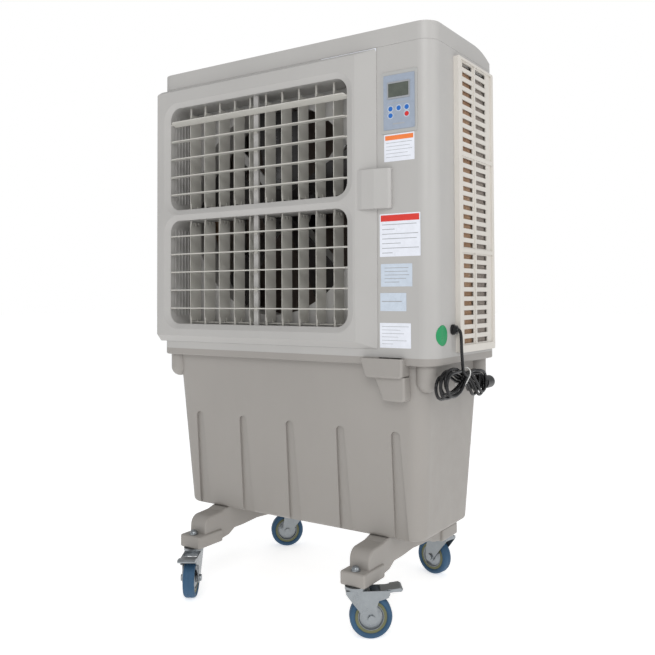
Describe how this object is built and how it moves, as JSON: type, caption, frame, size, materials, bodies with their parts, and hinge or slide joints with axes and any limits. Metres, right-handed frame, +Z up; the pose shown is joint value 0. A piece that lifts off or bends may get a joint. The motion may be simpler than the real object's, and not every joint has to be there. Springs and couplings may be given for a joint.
{
  "type": "evaporative cooler",
  "caption": "Portable evaporative cooler: tall cabinet with a louvred air outlet and grilled pads, over a tapered water tank on braked swivel casters.",
  "frame": {"origin": "on the floor, below the middle of the whole cooler without its cord", "axes": "+Z up, -Y the way the air leaves, +X to the control panel's side"},
  "size_m": [0.9195, 0.6163, 1.437],
  "materials": {
    "tank_plastic": "satin, fine moulded grain",
    "housing_plastic": "satin",
    "louvre_plastic": "satin",
    "grille_plastic": "satin",
    "panel_plastic": "printed overlay, semi gloss",
    "black_plastic": "satin",
    "fan_plastic": "semi gloss",
    "pipe_plastic": "satin",
    "pad_paper": "corrugated cellulose",
    "motor_paint": "semi gloss enamel",
    "brass": "turned",
    "zinc": "bright zinc plate",
    "tyre": "blue rubber, satin",
    "cord_rubber": "satin sheath",
    "key_blue": "gloss",
    "key_red": "gloss"
  },
  "bodies": {
    "cabinet": {"tank": "tank_plastic", "drain_spout": "pipe_plastic", "housing_shell": "housing_plastic", "roof_cap": "housing_plastic", "outlet_frame": "housing_plastic", "control_panel": "panel_plastic", "pad_frame_left": "grille_plastic", "pad_frame_right": "grille_plastic", "pad_frame_rear": "grille_plastic", "cooling_pads": "pad_paper", "fan_shroud": "housing_plastic", "fan_motor": "motor_paint", "water_pipe": "pipe_plastic", "pump": "black_plastic", "float_valve": "brass", "leg_beams": "tank_plastic", "caster_bolts": "zinc", "swing_motor": "zinc", "cable_gland": "black_plastic", "mains_cord": "cord_rubber", "cord_hank": "cord_rubber", "mains_plug": "black_plastic"},
    "fan": {"fan": "fan_plastic"},
    "float_arm": {"float_arm": "pipe_plastic"},
    "vane_link": {"vane_link": "louvre_plastic"},
    "key_power": {"key_power": "key_red"},
    "key_speed": {"key_speed": "key_blue"},
    "key_swing": {"key_swing": "key_blue"},
    "key_cool": {"key_cool": "key_blue"},
    "key_timer": {"key_timer": "key_blue"},
    "vane_01": {"vane_01": "louvre_plastic"},
    "vane_02": {"vane_02": "louvre_plastic"},
    "vane_03": {"vane_03": "louvre_plastic"},
    "vane_04": {"vane_04": "louvre_plastic"},
    "vane_05": {"vane_05": "louvre_plastic"},
    "vane_06": {"vane_06": "louvre_plastic"},
    "vane_07": {"vane_07": "louvre_plastic"},
    "vane_08": {"vane_08": "louvre_plastic"},
    "vane_09": {"vane_09": "louvre_plastic"},
    "vane_10": {"vane_10": "louvre_plastic"},
    "louvre_upper_1": {"louvre_upper_1": "louvre_plastic"},
    "louvre_upper_2": {"louvre_upper_2": "louvre_plastic"},
    "louvre_upper_3": {"louvre_upper_3": "louvre_plastic"},
    "louvre_upper_4": {"louvre_upper_4": "louvre_plastic"},
    "louvre_upper_5": {"louvre_upper_5": "louvre_plastic"},
    "louvre_lower_1": {"louvre_lower_1": "louvre_plastic"},
    "louvre_lower_2": {"louvre_lower_2": "louvre_plastic"},
    "louvre_lower_3": {"louvre_lower_3": "louvre_plastic"},
    "louvre_lower_4": {"louvre_lower_4": "louvre_plastic"},
    "louvre_lower_5": {"louvre_lower_5": "louvre_plastic"},
    "caster_front_left": {"fork_front_left": "zinc"},
    "wheel_front_left": {"wheel_front_left": "tyre"},
    "pedal_front_left": {"pedal_front_left": "zinc"},
    "caster_front_right": {"fork_front_right": "zinc"},
    "wheel_front_right": {"wheel_front_right": "tyre"},
    "pedal_front_right": {"pedal_front_right": "zinc"},
    "caster_rear_left": {"fork_rear_left": "zinc"},
    "wheel_rear_left": {"wheel_rear_left": "tyre"},
    "caster_rear_right": {"fork_rear_right": "zinc"},
    "wheel_rear_right": {"wheel_rear_right": "tyre"}
  },
  "joints": [
    {"name": "fan_spin", "type": "hinge", "parent": "cabinet", "child": "fan", "pos_m": [-0.091, -0.026, 1.033], "axis": [0, 1, 0], "continuous": true},
    {"name": "float_pivot", "type": "hinge", "parent": "cabinet", "child": "float_arm", "pos_m": [-0.344, 0.039, 0.56], "axis": [0, -1, 0], "range_deg": [0, 35]},
    {"name": "vane_link_slide", "type": "slide", "parent": "cabinet", "child": "vane_link", "axis": [1, 0, 0], "range_m": [-0.0133, 0.0133]},
    {"name": "key_power_press", "type": "slide", "parent": "cabinet", "child": "key_power", "axis": [0, 1, 0], "range_m": [0, 0.0008], "stiffness_N_per_m": 300},
    {"name": "key_speed_press", "type": "slide", "parent": "cabinet", "child": "key_speed", "axis": [0, 1, 0], "range_m": [0, 0.0008], "stiffness_N_per_m": 300},
    {"name": "key_swing_press", "type": "slide", "parent": "cabinet", "child": "key_swing", "axis": [0, 1, 0], "range_m": [0, 0.0008], "stiffness_N_per_m": 300},
    {"name": "key_cool_press", "type": "slide", "parent": "cabinet", "child": "key_cool", "axis": [0, 1, 0], "range_m": [0, 0.0008], "stiffness_N_per_m": 300},
    {"name": "key_timer_press", "type": "slide", "parent": "cabinet", "child": "key_timer", "axis": [0, 1, 0], "range_m": [0, 0.0008], "stiffness_N_per_m": 300},
    {"name": "vane_01_swing", "type": "hinge", "parent": "cabinet", "child": "vane_01", "pos_m": [-0.33625, -0.132, 1.03], "axis": [0, 0, 1], "range_deg": [-30, 30]},
    {"name": "vane_02_swing", "type": "hinge", "parent": "cabinet", "child": "vane_02", "pos_m": [-0.28175, -0.132, 1.03], "axis": [0, 0, 1], "range_deg": [-30, 30]},
    {"name": "vane_03_swing", "type": "hinge", "parent": "cabinet", "child": "vane_03", "pos_m": [-0.22725, -0.132, 1.03], "axis": [0, 0, 1], "range_deg": [-30, 30]},
    {"name": "vane_04_swing", "type": "hinge", "parent": "cabinet", "child": "vane_04", "pos_m": [-0.17275, -0.132, 1.03], "axis": [0, 0, 1], "range_deg": [-30, 30]},
    {"name": "vane_05_swing", "type": "hinge", "parent": "cabinet", "child": "vane_05", "pos_m": [-0.11825, -0.132, 1.03], "axis": [0, 0, 1], "range_deg": [-30, 30]},
    {"name": "vane_06_swing", "type": "hinge", "parent": "cabinet", "child": "vane_06", "pos_m": [-0.06375, -0.132, 1.03], "axis": [0, 0, 1], "range_deg": [-30, 30]},
    {"name": "vane_07_swing", "type": "hinge", "parent": "cabinet", "child": "vane_07", "pos_m": [-0.00925, -0.132, 1.03], "axis": [0, 0, 1], "range_deg": [-30, 30]},
    {"name": "vane_08_swing", "type": "hinge", "parent": "cabinet", "child": "vane_08", "pos_m": [0.04525, -0.132, 1.03], "axis": [0, 0, 1], "range_deg": [-30, 30]},
    {"name": "vane_09_swing", "type": "hinge", "parent": "cabinet", "child": "vane_09", "pos_m": [0.09975, -0.132, 1.03], "axis": [0, 0, 1], "range_deg": [-30, 30]},
    {"name": "vane_10_swing", "type": "hinge", "parent": "cabinet", "child": "vane_10", "pos_m": [0.15425, -0.132, 1.03], "axis": [0, 0, 1], "range_deg": [-30, 30]},
    {"name": "louvre_upper_1_tilt", "type": "hinge", "parent": "cabinet", "child": "louvre_upper_1", "pos_m": [-0.091, -0.155, 1.0852], "axis": [1, 0, 0], "range_deg": [-35, 35]},
    {"name": "louvre_upper_2_tilt", "type": "hinge", "parent": "cabinet", "child": "louvre_upper_2", "pos_m": [-0.091, -0.155, 1.1361], "axis": [1, 0, 0], "range_deg": [-35, 35]},
    {"name": "louvre_upper_3_tilt", "type": "hinge", "parent": "cabinet", "child": "louvre_upper_3", "pos_m": [-0.091, -0.155, 1.187], "axis": [1, 0, 0], "range_deg": [-35, 35]},
    {"name": "louvre_upper_4_tilt", "type": "hinge", "parent": "cabinet", "child": "louvre_upper_4", "pos_m": [-0.091, -0.155, 1.2379], "axis": [1, 0, 0], "range_deg": [-35, 35]},
    {"name": "louvre_upper_5_tilt", "type": "hinge", "parent": "cabinet", "child": "louvre_upper_5", "pos_m": [-0.091, -0.155, 1.2888], "axis": [1, 0, 0], "range_deg": [-5, 65]},
    {"name": "louvre_lower_1_tilt", "type": "hinge", "parent": "cabinet", "child": "louvre_lower_1", "pos_m": [-0.091, -0.155, 0.7622], "axis": [1, 0, 0], "range_deg": [-35, 35]},
    {"name": "louvre_lower_2_tilt", "type": "hinge", "parent": "cabinet", "child": "louvre_lower_2", "pos_m": [-0.091, -0.155, 0.8131], "axis": [1, 0, 0], "range_deg": [-35, 35]},
    {"name": "louvre_lower_3_tilt", "type": "hinge", "parent": "cabinet", "child": "louvre_lower_3", "pos_m": [-0.091, -0.155, 0.864], "axis": [1, 0, 0], "range_deg": [-35, 35]},
    {"name": "louvre_lower_4_tilt", "type": "hinge", "parent": "cabinet", "child": "louvre_lower_4", "pos_m": [-0.091, -0.155, 0.9149], "axis": [1, 0, 0], "range_deg": [-35, 35]},
    {"name": "louvre_lower_5_tilt", "type": "hinge", "parent": "cabinet", "child": "louvre_lower_5", "pos_m": [-0.091, -0.155, 0.9658], "axis": [1, 0, 0], "range_deg": [-35, 35]},
    {"name": "caster_front_left_swivel", "type": "hinge", "parent": "cabinet", "child": "caster_front_left", "pos_m": [-0.2565, -0.205, 0.109], "axis": [0, 0, 1], "continuous": true},
    {"name": "wheel_front_left_roll", "type": "hinge", "parent": "caster_front_left", "child": "wheel_front_left", "pos_m": [-0.23771, -0.23393, 0.05], "axis": [0.8387, 0.5446, 0], "continuous": true},
    {"name": "pedal_front_left_press", "type": "hinge", "parent": "caster_front_left", "child": "pedal_front_left", "pos_m": [-0.22382, -0.25532, 0.106], "axis": [0.8387, 0.5446, 0], "range_deg": [0, 12]},
    {"name": "caster_front_right_swivel", "type": "hinge", "parent": "cabinet", "child": "caster_front_right", "pos_m": [0.2565, -0.205, 0.109], "axis": [0, 0, 1], "continuous": true},
    {"name": "wheel_front_right_roll", "type": "hinge", "parent": "caster_front_right", "child": "wheel_front_right", "pos_m": [0.28427, -0.18453, 0.05], "axis": [-0.5934, 0.8049, 0], "continuous": true},
    {"name": "pedal_front_right_press", "type": "hinge", "parent": "caster_front_right", "child": "pedal_front_right", "pos_m": [0.30479, -0.16939, 0.106], "axis": [-0.5934, 0.8049, 0], "range_deg": [0, 12]},
    {"name": "caster_rear_left_swivel", "type": "hinge", "parent": "cabinet", "child": "caster_rear_left", "pos_m": [-0.2565, 0.273, 0.109], "axis": [0, 0, 1], "continuous": true},
    {"name": "wheel_rear_left_roll", "type": "hinge", "parent": "caster_rear_left", "child": "wheel_rear_left", "pos_m": [-0.28238, 0.25018, 0.05], "axis": [0.6613, -0.7501, 0], "continuous": true},
    {"name": "caster_rear_right_swivel", "type": "hinge", "parent": "cabinet", "child": "caster_rear_right", "pos_m": [0.2565, 0.273, 0.109], "axis": [0, 0, 1], "continuous": true},
    {"name": "wheel_rear_right_roll", "type": "hinge", "parent": "caster_rear_right", "child": "wheel_rear_right", "pos_m": [0.22273, 0.28005, 0.05], "axis": [-0.2045, -0.9789, 0], "continuous": true}
  ],
  "couplings": [
    {"joint": "vane_link_slide", "follows": "vane_01_swing", "m_per_rad": -0.0252},
    {"joint": "vane_02_swing", "follows": "vane_01_swing", "ratio": 1},
    {"joint": "vane_03_swing", "follows": "vane_01_swing", "ratio": 1},
    {"joint": "vane_04_swing", "follows": "vane_01_swing", "ratio": 1},
    {"joint": "vane_05_swing", "follows": "vane_01_swing", "ratio": 1},
    {"joint": "vane_06_swing", "follows": "vane_01_swing", "ratio": 1},
    {"joint": "vane_07_swing", "follows": "vane_01_swing", "ratio": 1},
    {"joint": "vane_08_swing", "follows": "vane_01_swing", "ratio": 1},
    {"joint": "vane_09_swing", "follows": "vane_01_swing", "ratio": 1},
    {"joint": "vane_10_swing", "follows": "vane_01_swing", "ratio": 1}
  ]
}
